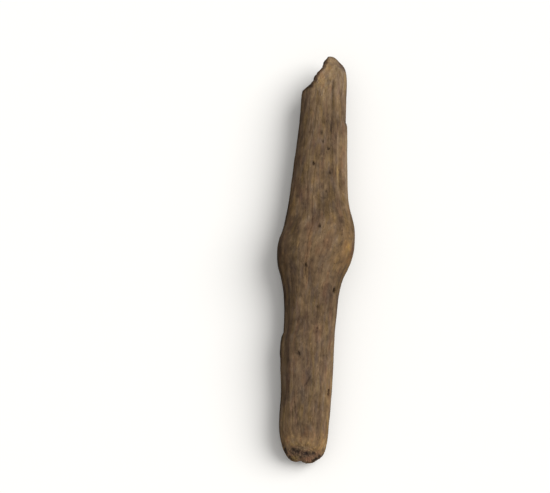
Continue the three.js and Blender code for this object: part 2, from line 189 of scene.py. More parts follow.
def relief(y, a):
    run = smooth(18, 34, y) * (1 - smooth(84.5, 87.5, y))
    d = run * 0.65 * bump(turned(a, 25), 0, 8)
    d = d - run * 0.85 * bump(turned(a, 43), 0, 7.5)
    d = d - smooth(86.4, 88.6, y) * (1 - smooth(112, 126, y)) * 0.7 * bump(turned(a, 22), 0, 20)
    d = d + smooth(76, 92, y) * (1 - smooth(122, 131, y)) * 0.7 * bump(turned(a, 46), 0, 13)
    d = d - smooth(-100, -70, y) * (1 - smooth(-30, -12, y)) * 0.7 * bump(turned(a, 152), 0, 12)
    d = d - smooth(22, 45, y) * (1 - smooth(92, 112, y)) * 0.9 * bump(turned(a, 236), 0, 13)
    d = d - smooth(-95, -70, y) * (1 - smooth(-40, -20, y)) * 0.9 * bump(turned(a, 292), 0, 12)
    d = d + 1.3 * bump(y, 4, 9) * bump(turned(a, 318), 0, 17)
    d = d + 0.8 * bump(y, -2, 11) * bump(turned(a, 222), 0, 20)
    d = d - 0.9 * bump(y, 17, 6) * bump(turned(a, 338), 0, 14)
    return d


def raw_radius(y, a):
    xl, xr, zu, zl = left(y), right(y), upper(y), lower(y)
    cz = zl + (zu - zl) * 0.48
    half, bu, bl = (xr - xl) / 2, zu - cz, cz - zl
    c, s = np.cos(a), np.sin(a)
    n = np.where(s >= 0, 2.08 + 0.22 * smooth(-90, -120, y), 2.2)
    b = np.where(s >= 0, bu, bl)
    return (np.abs(c / half) ** n + np.abs(s / b) ** n) ** (-1 / n) + waves(y, a)


def limits():
    """How far each ring reaches before it is fitted to the outlines: a table over y."""
    y = np.linspace(FIRST, LAST, 1600)
    ring = np.linspace(0, 2 * np.pi, 180, endpoint=False)
    r = raw_radius(y[:, None], ring[None, :])
    x, z = r * np.cos(ring), r * np.sin(ring)
    return y, x.min(1), x.max(1), z.min(1), z.max(1)


LIMITS = limits()


def section(y, a):
    """x and z of the plain surface at rows y and angles a, which have the same shape."""
    x0, x1, z0, z1 = (np.interp(y, LIMITS[0], v) for v in LIMITS[1:])
    xl, zl = left(y), lower(y)
    kx, kz = (right(y) - xl) / (x1 - x0), (upper(y) - zl) / (z1 - z0)
    r, d = raw_radius(y, a), relief(y, a)
    c, s = np.cos(a), np.sin(a)
    return xl + (r * c - x0) * kx + d * c, zl + (r * s - z0) * kz + d * s


# ------------------------------------------------------------------------------ noise
TABLE = np.random.default_rng(20).permutation(512)
SLOPES = np.random.default_rng(21).normal(size=(512, 3))
SLOPES /= np.linalg.norm(SLOPES, axis=1)[:, None]


def noise(x, y, z):
    """Gradient noise, about -1 to 1."""
    x, y, z = np.broadcast_arrays(x, y, z)
    xi, yi, zi = (np.floor(v).astype(np.int64) for v in (x, y, z))
    xf, yf, zf = x - xi, y - yi, z - zi
    u, v, w = (f * f * f * (f * (f * 6 - 15) + 10) for f in (xf, yf, zf))

    def corner(i, j, k):
        h = TABLE[(TABLE[(TABLE[(xi + i) & 511] + yi + j) & 511] + zi + k) & 511]
        g = SLOPES[h]
        return g[..., 0] * (xf - i) + g[..., 1] * (yf - j) + g[..., 2] * (zf - k)

    def mix(p, q, t):
        return p + (q - p) * t

    near = mix(mix(corner(0, 0, 0), corner(1, 0, 0), u), mix(corner(0, 1, 0), corner(1, 1, 0), u), v)
    far = mix(mix(corner(0, 0, 1), corner(1, 0, 1), u), mix(corner(0, 1, 1), corner(1, 1, 1), u), v)
    return mix(near, far, w) * 1.6


def layers(x, y, z, count, gain=0.5, seed=0.0):
    total, scale, size = 0.0, 1.0, 0.0
    for k in range(count):
        f = 2.0 ** k
        total = total + scale * noise(x * f + seed + 17.3 * k, y * f - seed, z * f + 5.1 * k)
        size += scale
        scale *= gain
    return total / size


# --------------------------------------------------------------------------- the grid
def row_positions():
    """Rows along the stick, evenly spaced over the surface and closer at the ends, the
    ledge and the worm holes."""
    y = np.linspace(FIRST, LAST, 26681)
    size = (right(y) - left(y) + upper(y) - lower(y)) / 4
    along = np.sqrt(1 + np.gradient(size, y) ** 2)
    per = 1 / 0.66 + 0 * y
    per += (1 / 0.34 - 1 / 0.66) * (1 - smooth(-122, -116, y))
    per += (1 / 0.36 - 1 / 0.66) * smooth(102, 106, y)
    per += 0.9 * bump(y, 87.5, 3.0)
    for _, at, wide, _, _ in HOLES + LOWER_HOLES:
        per += (1 / 0.36 - 1 / 0.66) * bump(y, at, 0.75 * wide)
    total = np.concatenate([[0], np.cumsum((along * per)[1:] * np.diff(y))])
    count = int(total[-1])
    return np.interp(np.linspace(0, total[-1], count), total, y)


def build_grid():
    ys = row_positions()
    columns = 560
    t = np.linspace(0, 2 * np.pi, columns, endpoint=False)
    angles = t + 0.12 * np.cos(t)
    caps = [0.1, 0.2, 0.32, 0.44, 0.56, 0.68, 0.79, 0.9]
    y = np.concatenate([np.full(len(caps), FIRST), ys, np.full(len(caps), LAST)])
    share = np.concatenate([caps, np.ones(len(ys)), caps[::-1]])
    Y = np.repeat(y[:, None], columns, 1)
    A = np.repeat(angles[None, :], len(y), 0)
    return Y, A, share[:, None]


def close_ends(X, Yp, Z, share):
    """Draws the cap rows in towards the two tips."""
    n = int((share[: len(share) // 2] < 1).sum())
    for rows, tip in ((slice(0, n), BLUNT_TIP), (slice(-n, None), BROKEN_TIP)):
        s = share[rows]
        X[rows] = tip[0] + (X[rows] - tip[0]) * s
        Z[rows] = tip[2] + (Z[rows] - tip[2]) * s
        Yp[rows] = tip[1] + (Yp[rows] - tip[1]) * s ** 2
    return X, Yp, Z


def grid_normals(X, Y, Z):
    P = np.stack([X, Y, Z], -1)
    across = np.roll(P, -1, 1) - np.roll(P, 1, 1)
    along = np.gradient(P, axis=0)
    n = np.cross(along, across)
    length = np.linalg.norm(n, axis=-1, keepdims=True)
    n = n / np.maximum(length, 1e-9)
    centre = P.mean(1, keepdims=True)
    flip = np.sign(((P - centre) * n).sum(-1).mean())
    return n * (flip if flip else 1)


def surface_height(x, y, above=True):
    a = np.linspace(0, 2 * np.pi, 2000)
    X, Z = section(np.full(a.shape, float(y)), a)
    near = np.abs(X - x) < 0.3
    return Z[near].max() if above else Z[near].min()


def torn_face(y, z, top):
    """x of the torn face at y and z, where top is the height of the upper side there. Its
    upper edge is set back a little; below, bundles of fibres ended in uneven steps."""
    line = np.array(BREAK)
    drop = np.maximum(0.0, top - z)
    deep = smooth(0.3, 4.0, drop)
    jag = deep * (2.4 * noise(z / 2.3, y / 60, 3.7) + 1.2 * noise(z / 1.0, y / 25, 9.1))
    at = y + jag * (0.15 + 0.85 * smooth(112, 118, y))
    x = np.interp(at, line[:, 1], line[:, 0])
    x = np.where(at < line[0, 1], line[0, 0] - 1.2 * (line[0, 1] - at), x)
    step = 1.7
    q = x / step + 0.35 * noise(z / 3.1, y / 40, 1.3)
    whole = np.floor(q)
    stairs = step * (whole + smooth(0.2, 0.8, q - whole) - 0.35 * noise(z / 3.1, y / 40, 1.3))
    x = x + deep * 0.7 * (stairs - x)
    slope = (0.85 - 1.25 * smooth(0.0, 5.0, drop)) * (1 - 0.35 * smooth(118, 127, y))
    slope = slope + 0.14 * np.maximum(0.0, drop - 6.0)
    small = 0.26 * noise(z / 0.62, y / 9, 5.5) + 0.12 * noise(z / 0.3, y / 4, 2.5)
    return x + slope + (0.25 + 0.75 * deep) * small + 0.30 * (1 - deep) * noise(y / 1.6, 0.3, 8.0)


def upper_side(x, X, Z, N):
    """Height of the upper side at x in every row, between the row's own columns."""
    out = np.zeros_like(x)
    for i in range(len(x)):
        up = N[i, :, 2] > 0.02
        if up.sum() < 4:
            out[i] = Z[i].max()
            continue
        order = np.argsort(X[i, up])
        out[i] = np.interp(x[i], X[i, up][order], Z[i, up][order])
    return out


def fine_surface():
    """The finished surface: positions and the values that the material reads."""
    Y, A, share = build_grid()
    # The ledge has a ragged edge: its step is met earlier or later round the stick.
    ragged = 1.5 * noise(3.2 * np.cos(A), 3.2 * np.sin(A), 4.2) + 0.8 * noise(8 * np.cos(A), 8 * np.sin(A), 8.4)
    lift = bump(Y, 87.5, 7.0) * ragged
    X, Z = section(np.clip(Y + lift, FIRST, LAST), A)
    X, Yp, Z = close_ends(X, Y.copy(), Z, share)
    N = grid_normals(X, Yp, Z)

    # Coordinates that follow the fibres: round the stick, and along it. They wander
    # a little, and part round the worn knot low on the right.
    deg = turned(A, 318)
    far = np.sqrt((deg * 0.42 / 8.5) ** 2 + ((Y - 4.0) / 11.0) ** 2)
    part = np.exp(-far ** 2 * 0.8) * np.tanh(deg / 15.0) * 0.10
    ca, sa = np.cos(A), np.sin(A)
    wander = 0.060 * noise(1.1 * ca, 1.1 * sa, Y / 60) + 0.014 * noise(2.5 * ca, 2.5 * sa, Y / 17)
    T = A + wander - part
    gx, gz, gy = 16 * np.cos(T), 16 * np.sin(T), Y
    # Both ends are worn or broken across the fibres, which run straight on to them.
    for share_, wide, mid, tall in (
        (smooth(104, 117, Yp), 15.2, 17.5, 10.6), (smooth(-111, -120, Yp), 15.6, 12.6, 12.8),
    ):
        turn = T - A
        sx, sz = X * 16 / wide, (Z - mid) * 16 / tall
        gx = gx + share_ * (sx * np.cos(turn) - sz * np.sin(turn) - gx)
        gz = gz + share_ * (sz * np.cos(turn) + sx * np.sin(turn) - gz)

    # How much each place is end grain; the rest is long grain.
    blunt = smooth(-118.5, -124.0, Yp) * smooth(0.45, 0.75, -N[..., 1])
    body = 1 - blunt

    # Soft unevenness, then worn furrows along the fibres, deeper in some patches.
    d = 0.30 * layers(gx / 8.5, gz / 8.5, gy / 40, 2, seed=3.0)
    d = d + 0.11 * noise(gx / 3.6, gz / 3.6 + 5, gy / 12) * body
    patch = smooth(-0.45, 0.6, layers(gx / 9, gz / 9, gy / 30, 2, seed=8.0))
    f1 = layers(gx / 2.3, gz / 2.3, gy / 38, 2, 0.45, seed=1.0)
    f2 = noise(gx / 1.05, gz / 1.05, gy / 16)
    f3 = noise(gx / 0.50 + 7, gz / 0.50, gy / 6)
    furrow = 0.55 * smooth(0.0, 0.55, f1) + 0.45 * smooth(0.05, 0.65, f2) * (0.4 + 0.6 * patch)
    deeper = 1 + 0.9 * smooth(0.35, -0.35, N[..., 2])
    d = d - (0.13 + 0.21 * patch) * deeper * furrow * body - 0.040 * f3 * (0.4 + 0.6 * patch) * body
    # Painted shade in the hollows: this mask darkens the furrows, and below also the worn steps, splits, worm holes,
    # dents and pores.
    painted_cavity_shade = furrow * (0.35 + 0.65 * patch) * body

    # Edges where an outer layer has worn off: a low step, easing out away from it.
    for at, drift, y0, y1, h, side in (
        (100, 7, -28, 66, 0.30, 1), (66, -9, -104, -34, 0.30, -1), (128, 8, -112, -58, 0.30, 1),
        (118, 6, 14, 96, 0.26, -1), (58, 5, 30, 78, 0.24, 1), (200, 10, -60, 30, 0.45, 1),
        (255, -8, -20, 84, 0.45, -1), (340, 8, -100, -24, 0.42, 1), (12, 6, -70, -14, 0.32, -1),
        (170, 7, 24, 108, 0.40, -1), (290, 7, 10, 118, 0.42, 1), (225, 9, -118, -50, 0.42, -1),
    ):
        mid = at + drift * np.sin((Y - y0) / 31.0) + 2.2 * noise(Y / 7.0, at, 0.5) + 0.9 * noise(Y / 2.2, at, 7.5)
        off = ((np.degrees(T) - mid + 540) % 360 - 180) * side
        run = smooth(y0, y0 + 14, Y) * (1 - smooth(y1 - 14, y1, Y))
        step = smooth(-0.6, 0.9, off) * np.exp(-np.maximum(off, 0) / 9.0)
        d = d - run * h * step * body
        # Painted shade at the foot of the step.
        painted_cavity_shade = np.maximum(painted_cavity_shade, run * body * (0.3 + h) * bump(off, 1.0, 1.6))

    # Drying cracks along the fibres: fine short ones, and longer ones below.
    seed = np.random.default_rng(5)
    crack = np.zeros_like(d)
    for k in range(110):
        long = k % 9 == 0
        at = seed.uniform(150, 390) if long else seed.uniform(0, 360)
        y_mid = seed.uniform(-112, 116)
        half = seed.uniform(10.0, 24.0) if long else seed.uniform(2.0, 6.0)
        wide = seed.uniform(0.22, 0.32) if long else seed.uniform(0.14, 0.22)
        deep = seed.uniform(0.5, 0.95) if long else seed.uniform(0.18, 0.42)
        bend = seed.uniform(-1.0, 1.0)
        if 20 < at % 360 < 160:
            deep *= 0.6
        rows = np.nonzero(np.abs(Y[:, 0] - y_mid) < half)[0]
        if not len(rows):
            continue
        sl = slice(rows[0], rows[-1] + 1)
        t = (Y[sl] - y_mid) / half
        mid = at + 1.4 * bend * t + 0.9 * noise(Y[sl] / 3.3, k * 1.7, 0.0)
        off = ((np.degrees(T[sl]) - mid + 540) % 360 - 180) * (16 * math.pi / 180)
        w = wide * np.sqrt(np.maximum(1 - t * t, 0.0)) + 0.03
        line = np.exp(-((off / w) ** 2)) * smooth(1.0, 0.7, np.abs(t))
        crack[sl] = np.maximum(crack[sl], line * deep)
    crack *= body
    d = d - crack
    # Painted shade darkens the cracks.
    painted_crevice_and_edge_shade = 0.9 * smooth(0.15, 0.75, crack)

    # The long split and the drying checks that run over the upper side, with painted shade in them.
    top = smooth(0.1, 0.35, N[..., 2])
    for half, deep, shade, line, share_along in CHECKS:
        pts = np.array(sorted(line, key=lambda q: q[1]), float)
        fine = np.linspace(pts[0, 1], pts[-1, 1], 200)
        xs = curve([(b, a) for a, b in pts])(fine)
        mid = np.interp(Yp, fine, xs) + 0.13 * noise(Yp / 3.1, half * 9, 0.4) + 0.08 * noise(Yp / 1.2, half * 9, 2.4)
        slant = np.abs(np.interp(Yp, fine, np.gradient(xs, fine)))
        t = (Yp - (fine[0] + fine[-1]) / 2) / ((fine[-1] - fine[0]) / 2)
        open_ = np.maximum(1 - t * t, 0.0) ** 0.8
        w = half * (0.35 + 0.65 * open_) * (1 + 0.35 * noise(Yp / 4.0, 3.3 * half, 7.0))
        off = (X - mid) / np.sqrt(1 + slant ** 2)
        at, open_share = np.array(share_along, float).T
        run = smooth(1.0, 0.9, np.abs(t)) * top * np.interp(Yp, at, open_share)
        d = d - run * deep * (0.35 + 0.65 * open_) * np.exp(-np.abs(off / w) ** 1.7)
        uneven = 0.75 + 0.5 * noise(Yp / 5.0, 1.3 * half, 3.0)
        painted_crevice_and_edge_shade = np.maximum(painted_crevice_and_edge_shade, shade * run * np.exp(-((off / (0.75 * w)) ** 2)) * (0.4 + 0.6 * open_) * uneven)
        painted_cavity_shade = np.maximum(painted_cavity_shade, 0.7 * run * np.exp(-((off / (1.4 * w)) ** 2)))

    # Worm holes, bored square to the surface, with painted shade in them.
    P = np.stack([X, Yp, Z], -1)
    for holes, above in ((HOLES, True), (LOWER_HOLES, False)):
        for hx, hy, wide, deep, shade in holes:
            c = np.array([hx, hy, surface_height(hx, hy, above)])
            e = 0.8
            sx = (surface_height(hx + e, hy, above) - surface_height(hx - e, hy, above)) / (2 * e)
            sy = (surface_height(hx, hy + e, above) - surface_height(hx, hy - e, above)) / (2 * e)
            axis = np.array([-sx, -sy, 1.0]) * (1 if above else -1)
            axis /= np.linalg.norm(axis)
            near = (np.abs(Yp - hy) < 4) & ((P - c) @ axis > -3) & ((P - c) @ axis < 3)
            rel = P[near] - c
            # a little longer along the fibres than across, with an uneven rim
            rel = rel - (rel @ axis)[:, None] * axis
            rel[:, 1] *= 0.80
            r = np.linalg.norm(rel, axis=-1)
            turn = np.arctan2(rel[:, 1], rel[:, 0])
            r = r * (1 + 0.12 * np.sin(2 * turn + hx) + 0.09 * np.sin(3 * turn + hy))
            rim = wide / 2
            d[near] -= deep * smooth(rim * 1.2, rim * 0.6, r)
            d[near] -= 0.10 * bump(r, rim * 1.2, 0.6)
            painted_crevice_and_edge_shade[near] = np.maximum(painted_crevice_and_edge_shade[near], shade * smooth(rim * 1.25, rim * 0.6, r))
            painted_cavity_shade[near] = np.maximum(painted_cavity_shade[near], 0.8 * smooth(rim * 2.3, rim, r))

    # Small dents and pores, with painted shade in them.
    dent = smooth(0.36, 0.75, noise(gx / 1.5 + 31, gz / 1.5, gy / 3.2)) * smooth(-0.2, 0.5, noise(gx / 9, gz / 9 + 4, gy / 22))
    pore = smooth(0.40, 0.70, noise(gx / 0.8 + 51, gz / 0.8, gy / 1.5)) * smooth(-0.4, 0.4, noise(gx / 6 + 9, gz / 6, gy / 14))
    d = d - (0.26 * dent + 0.14 * pore) * body
    painted_cavity_shade = np.clip(np.maximum(painted_cavity_shade, 0.75 * dent * body) + 0.45 * pore * body, 0, 1)

    # The blunt end: rings round the heart, rays, and a rotten, pitted strip across it.
    px, pz = X + 1.2 + 0.6 * noise(X / 5, Z / 5, 2.0), Z - 12.0
    out = np.hypot(px, pz * 1.05) + 0.5 * noise(X / 3, Z / 3, 6.0)
    rings = 0.5 + 0.5 * np.cos(2 * np.pi * out / 1.35)
    turn = np.arctan2(pz, px)
    rays = smooth(0.80, 1.0, np.abs(np.cos(3.5 * turn + 0.9 * noise(out / 2.5, 3.0, 1.0) + 0.6))) * smooth(1.5, 3.5, out)
    n1 = noise(X / 2.6, Yp / 2.0, Z / 2.6)
    n2 = noise(X / 1.1 + 3, Yp / 1.1, Z / 1.1)
    upper_half = smooth(11.5, 14.5, Z)
    wob = 1.1 * noise(X / 3.1, 2.2, 6.1) + 0.7 * noise(X / 1.3, 4.2, 1.1)
    strip = smooth(-9.6, -6.8, X + 0.6 * n1) * smooth(9.4, 6.8, X + 0.6 * n1)
    start = -125.0 - 1.7 * smooth(-5.0, -1.0, X)
    strip = strip * smooth(start, start - 1.6, Yp + wob) * smooth(-131.2, -129.6, Yp + 0.5 * wob) * upper_half
    pits = smooth(-0.10, 0.45, n1) * 0.6 + smooth(-0.05, 0.5, n2) * 0.4
    spots = np.zeros_like(X)
    for sx, sy, wide, deep in (
        (-6.8, -127.2, 2.6, 1.0), (-4.0, -128.2, 2.5, 0.8), (1.4, -129.3, 3.2, 0.85), (-0.6, -129.8, 1.8, 0.55), (-6.4, -129.3, 1.6, 0.55), (3.6, -129.0, 1.7, 0.45),
        (6.7, -128.6, 1.8, 0.75), (-1.4, -131.4, 1.8, 0.6), (-8.6, -127.9, 1.4, 0.45), (-1.0, -128.9, 1.4, 0.35),
    ):
        r = np.hypot((X - sx) + 0.9 * n1 + 0.5 * n2, ((Yp - sy) + 0.7 * n2) * 1.25)
        spots = np.maximum(spots, deep * smooth(wide, 0.1 * wide, r) * upper_half)
    notch = bump(X, -1.2, 1.9) * smooth(-130.2, -132.6, Yp)
    rough = 0.16 * rings + 0.35 * rays * (1 - strip) + 0.32 * pits + 0.18 * smooth(-0.2, 0.5, n2)
    end = rough + strip * (0.30 + 0.45 * pits) + 0.95 * spots
    d = d - blunt * end - 1.25 * notch - 0.35 * smooth(-130.0, -133.0, Yp)
    rot = blunt * np.clip(strip * (0.28 + 0.38 * pits) + 0.80 * spots, 0, 1)

    X, Yp, Z = X + N[..., 0] * d, Yp + N[..., 1] * d, Z + N[..., 2] * d

    # The torn face of the break.
    rows = np.nonzero(Y[:, 0] > 98)[0]
    sl = slice(rows[0], len(Y))
    line = np.array(BREAK)
    edge = np.interp(Yp[sl], line[:, 1], line[:, 0])
    height = upper_side(edge + 0.9, X[sl], Z[sl], N[sl])
    face = torn_face(Yp[sl], Z[sl], height)
    torn = np.zeros_like(X)
    rim = np.zeros_like(X)
    by = face - X[sl]
    by = np.where(Yp[sl] < 100, -5, by)
    torn[sl] = smooth(-0.30, 0.05, by)
    steep = np.sqrt(1 + np.interp(Yp[sl], line[:, 1], np.gradient(line[:, 0], line[:, 1])) ** 2)
    # Painted shade: rim darkens a strip along the edge of the break, on faces turned sideways or down.
    low = smooth(118, 114, Yp[sl])
    tip = smooth(114, 118, Yp[sl]) * smooth(132, 128, Yp[sl])
    rim[sl] = smooth(-1.35 - 0.8 * low - 0.9 * tip, -0.45 - 0.7 * low - 0.65 * tip, by / steep) * smooth(106.5, 108.5, Yp[sl]) * smooth(-0.2, 0.1, N[sl][..., 2])
    X[sl] = np.where(by > 0, face, X[sl])
    # Painted shade in the corner of the step in the break, on its sideways faces.
    step_ = np.hypot(X + 9.6, 0.9 * (Yp - 111.4)) + 0.5 * noise(X / 1.5, Yp / 1.5, 4.4)
    rim = np.maximum(rim, smooth(3.1, 1.3, step_) * smooth(-0.2, 0.2, N[..., 2]))
    painted_crevice_and_edge_shade = np.maximum(painted_crevice_and_edge_shade, 0.72 * smooth(2.7, 1.0, step_) * smooth(-0.2, 0.2, N[..., 2]))
    painted_crevice_and_edge_shade = painted_crevice_and_edge_shade * (1 - torn)
    # The worn flats that it rests on.
    flat = smooth(0.12, -0.12, Z)
    Z = np.where(Z < 0.10, np.maximum(0.0, 0.10 * np.exp((Z - 0.10) / 0.10)), Z)

    # Where the wood is warmer, lighter or darker, as broad patches, with painted light on the right flank, which faces
    # the key light, and painted shade on the faces turned down.
    def spot(x, y, wx, wy, above=True):
        side = smooth(-0.15, 0.25, N[..., 2] if above else -N[..., 2])
        return side * np.exp(-(((X - x) / wx) ** 2) - ((Yp - y) / wy) ** 2)

    nx, nz = N[..., 0], N[..., 2]
    band = smooth(-114.0, -120.0, Yp) * (1 - blunt)
    ochre = (
        0.68 * spot(19.8, 4, 3.8, 14) + 0.55 * spot(21.5, -3, 2.6, 8) + 0.50 * spot(12.6, 56.4, 1.5, 4.5)
        + 0.45 * spot(-4.1, 4, 1.8, 6) + 0.75 * spot(-3.0, 117, 2.6, 4.5) + 0.55 * spot(1.8, 125, 2.6, 4.0)
        + 0.40 * spot(14.5, -11, 4.5, 9) + 0.40 * spot(13.6, -95, 1.8, 22) + 0.35 * spot(0.6, -103.5, 1.6, 3.0)
        + 0.30 * spot(-2.0, 48, 2.5, 6) + 0.30 * spot(8.6, 14, 2.6, 7) + 0.55 * spot(11.5, -121, 1.8, 5)
        + 0.35 * spot(-10.5, -114, 2.5, 8) + 0.30 * band + 0.40 * spot(7.5, -4.5, 3.2, 6) + 0.30 * spot(-22, -8, 2, 6)
        + 0.40 * spot(-16.6, 29, 2.8, 12) + 0.45 * spot(-4.9, -14.0, 2.8, 6) + 0.30 * spot(-19.5, -12, 3, 12) + 0.50 * spot(6.5, -125.4, 4.0, 2.0)
    )
    # Lighter patches; the terms on the right flank are painted light over a pale worn ridge there.
    lighter_and_painted_light = (
        0.34 * band + 0.45 * spot(4.5, 125, 6.5, 8) + 0.35 * spot(6, 9, 3.5, 9) + 0.35 * spot(-8.5, -90, 2.5, 9) + 0.40 * spot(20.5, 2, 2.4, 11) + 0.55 * spot(-1.5, -121.5, 8.5, 2.6) + 0.35 * spot(2.2, -126.6, 3.0, 1.6) + 0.35 * spot(10.2, -125.6, 2.0, 2.4) + 0.50 * smooth(96, 122, Yp) * smooth(-0.2, 0.4, nz) + 0.45 * spot(-13, -110, 4, 14) + 1.25 * smooth(0.56, 0.82, nx) * smooth(-0.25, 0.2, nz) * smooth(24, 40, Yp) * (1 - smooth(78, 86, Yp))
        + 0.40 * smooth(0.5, 0.85, nx) * smooth(-0.25, 0.2, nz) * smooth(-30, -50, Yp)
        + 0.42 * spot(7.8, 108, 1.8, 14) + 0.30 * smooth(86, 118, Yp) * smooth(-0.2, 0.4, nz) + 0.45 * spot(1.0, 124, 4, 6)
        + 0.30 * spot(-3.5, 118, 4, 7) + 0.25 * spot(8.8, 16, 3.4, 7) + 0.35 * spot(-6.5, -79, 1.8, 5)
        + 0.35 * spot(-3.4, -88, 1.5, 4) + 0.30 * spot(3.4, -51, 1.4, 1.2) + 0.25 * spot(-6.0, -30, 2.0, 9)
        + 0.25 * spot(4, 34, 2, 8) + 0.20 * spot(-8, 60, 4, 22) + 0.70 * spot(3.1, 56, 2.8, 4.5) + 0.65 * spot(-0.1, 103.4, 2.6, 5)
        + 0.65 * spot(12.7, 117.5, 2.4, 5) + 0.55 * spot(-10.1, -44.8, 3.2, 5) + 0.60 * spot(5.4, -3.9, 3.4, 5) + 0.55 * spot(13.7, 99.7, 2.2, 5)
        + 0.45 * spot(-5.9, 91, 3.0, 5) + 0.45 * spot(14.3, -84.0, 2.2, 4) + 0.45 * spot(5.1, -70, 2.6, 5) + 0.50 * spot(17.6, 47.3, 1.8, 6)
        + 0.50 * spot(2.4, -126.2, 3.6, 1.8) + 0.40 * spot(-17.1, 43, 2.0, 5)
        + 0.85 * spot(12.8, -121.9, 1.7, 2.6) + 0.40 * spot(-5.8, -114.4, 3, 4) + 0.35 * spot(7, -81.5, 2.6, 5) + 0.40 * spot(11.8, 107, 2.2, 5)
        + 0.80 * spot(-16.3, -79.5, 1.8, 6) + 0.40 * spot(-17.6, 35, 1.8, 6) + 0.35 * spot(3.0, 86, 1.6, 4) + 0.40 * spot(17.4, 47.3, 1.8, 5)
        + 0.35 * spot(13.1, 66, 2.4, 4) + 0.30 * spot(13.7, 96, 1.6, 4) + 0.30 * spot(-0.7, 103.4, 2.4, 4) + 0.25 * spot(-8.4, 20.6, 2.6, 5)
    )
    # Darker patches, and painted shade on the faces turned down, towards the underside.
    darker_and_painted_underside_shade = (
        0.35 * spot(9, 30, 6, 9) + 0.35 * spot(-14, 9, 3, 9) + 0.35 * spot(-11, -10, 3.5, 8) + 0.40 * spot(-2, -90, 4, 10)
        + 0.30 * spot(-8, -48, 4, 10) + 0.25 * spot(3.0, 50, 2.6, 9) + 0.42 * spot(5.5, 30, 5.0, 10) + 0.50 * spot(-13.5, 13, 2.6, 9) + 0.45 * spot(-15.0, -8, 2.6, 8)
        + 0.30 * spot(15.5, -16, 5.0, 7) + 0.30 * spot(-3.5, -30, 4.0, 12) + 0.32 * spot(-6.0, -47, 5.0, 10) + 0.30 * spot(13.0, -31, 3.0, 9)
        + 0.25 * spot(0.5, -72, 6, 10) + 0.30 * spot(2.5, -112, 6, 5) + 0.38 * spot(0.5, -38, 5.5, 12) + 0.22 * spot(0, -98, 5, 10) + 0.45 * spot(12.6, 50, 1.3, 18) + 0.55 * spot(10.1, -57, 1.2, 4) + 0.35 * spot(5.5, 42, 2.2, 14)
        + 0.40 * spot(4.6, 29, 3.0, 6) + 0.45 * spot(-12.0, -24, 3.2, 7) + 0.40 * spot(8.5, -38, 2.2, 12)
        + 0.35 * spot(-2.0, -20, 3, 8) + 0.30 * spot(-6, -62, 4, 12) + 0.30 * spot(0, -113, 4, 7)
        + 0.30 * spot(7.4, 66, 2.0, 8) + 0.25 * spot(1.5, 88, 2.5, 9) + 0.35 * smooth(0.1, -0.75, nz) * body
        + 0.60 * spot(15.8, 19, 3.4, 6) + 0.60 * spot(17.8, -18.4, 2.6, 5) + 0.55 * spot(-10.3, -12.6, 3.0, 5) + 0.45 * spot(3.9, 12.4, 2.5, 5)
        + 0.45 * spot(14.8, -44.6, 2.4, 5) + 0.50 * spot(-23, 1.5, 2.2, 7) + 0.45 * spot(-11.1, -60.3, 2.8, 5) + 0.60 * spot(-11.2, 109.5, 2.8, 3.0)
        + 0.40 * spot(-10, -27, 3, 5) + 0.40 * spot(-16.4, -41.6, 2.4, 5) + 0.40 * spot(15.9, -30, 2.2, 5) + 0.35 * spot(2.0, 75.3, 2.4, 4)
        + 0.30 * spot(-17.7, -30, 2.0, 5) + 0.30 * spot(9.8, -20, 3, 4) + 0.30 * spot(8.3, -36, 2.5, 5) + 0.25 * spot(-15.6, 2.5, 3, 6) + 0.25 * spot(2.5, -109, 3, 4)
        + 0.40 * spot(-22, -5.3, 2.4, 5) + 0.30 * spot(1.3, 27, 2.5, 5) + 0.30 * spot(-11.4, 54, 2.4, 5) + 0.30 * spot(-11.3, 73.5, 2.4, 5)
        + 0.30 * spot(13.8, -74.4, 2.2, 4) + 0.35 * spot(16.2, -3, 2.6, 5) + 0.30 * spot(19.8, 10.5, 2.4, 5)
    )
    # Painted shade on the left flank, which is turned away from the key light, and along the lower edge of the blunt
    # end, where it is seen edge-on from the camera.
    uneven = 0.75 + 0.45 * layers(gx / 6, gz / 6, gy / 26, 2, seed=12.0)
    painted_edge_and_flank_shade = (0.30 * smooth(-0.30, -0.75, nx) + 0.80 * smooth(-0.80, -0.96, nx)) * smooth(-0.7, -0.1, nz) * uneven
    painted_edge_and_flank_shade = painted_edge_and_flank_shade * (1 - 0.45 * smooth(-92, -108, Yp)) * (1 - 0.6 * bump(Yp, -80, 7) - 0.4 * bump(Yp, 43, 8))
    # How far the surface faces the camera that looks down at 75 degrees.
    facing_camera = 0.966 * nz - 0.259 * N[..., 1]
    # Painted shade along the lower edge of the blunt end, where it is seen edge-on from the camera.
    painted_low_edge_shade = smooth(-121.5, -124.0, Yp) * smooth(-0.45, -0.05, facing_camera + 0.3 * n1) * smooth(0.55, 0.15, facing_camera) * smooth(4.5, 7.5, np.abs(X + 1.0))
    painted_edge_and_flank_shade = np.maximum(painted_edge_and_flank_shade, 0.95 * painted_low_edge_shade)
    # Painted shade: dark marks along the lower left and right edges of the blunt end.
    for ex, ey, wx, wy, deep in (
        (-12.6, -123.8, 1.2, 1.7, 0.75), (-11.3, -126.6, 1.3, 1.7, 1.0), (-10.2, -128.2, 1.4, 1.5, 0.95), (-8.0, -130.6, 1.7, 1.5, 0.85),
        (-7.0, -131.8, 1.5, 1.0, 0.70), (7.0, -131.6, 1.7, 1.4, 0.85), (8.4, -130.5, 1.8, 1.5, 1.0), (10.2, -129.0, 1.7, 1.5, 0.85),
        (12.1, -125.4, 1.0, 1.4, 0.65),
    ):
        near_ = np.exp(-(((X - ex) / wx) ** 2) - ((Yp - ey) / wy) ** 2 - ((facing_camera - 0.52) / 0.29) ** 2)
        painted_crevice_and_edge_shade = np.maximum(painted_crevice_and_edge_shade, 0.95 * deep * smooth(0.22, 0.70, near_ + 0.34 * n1 + 0.24 * n2 - 0.08) * smooth(0.05, 0.3, near_))
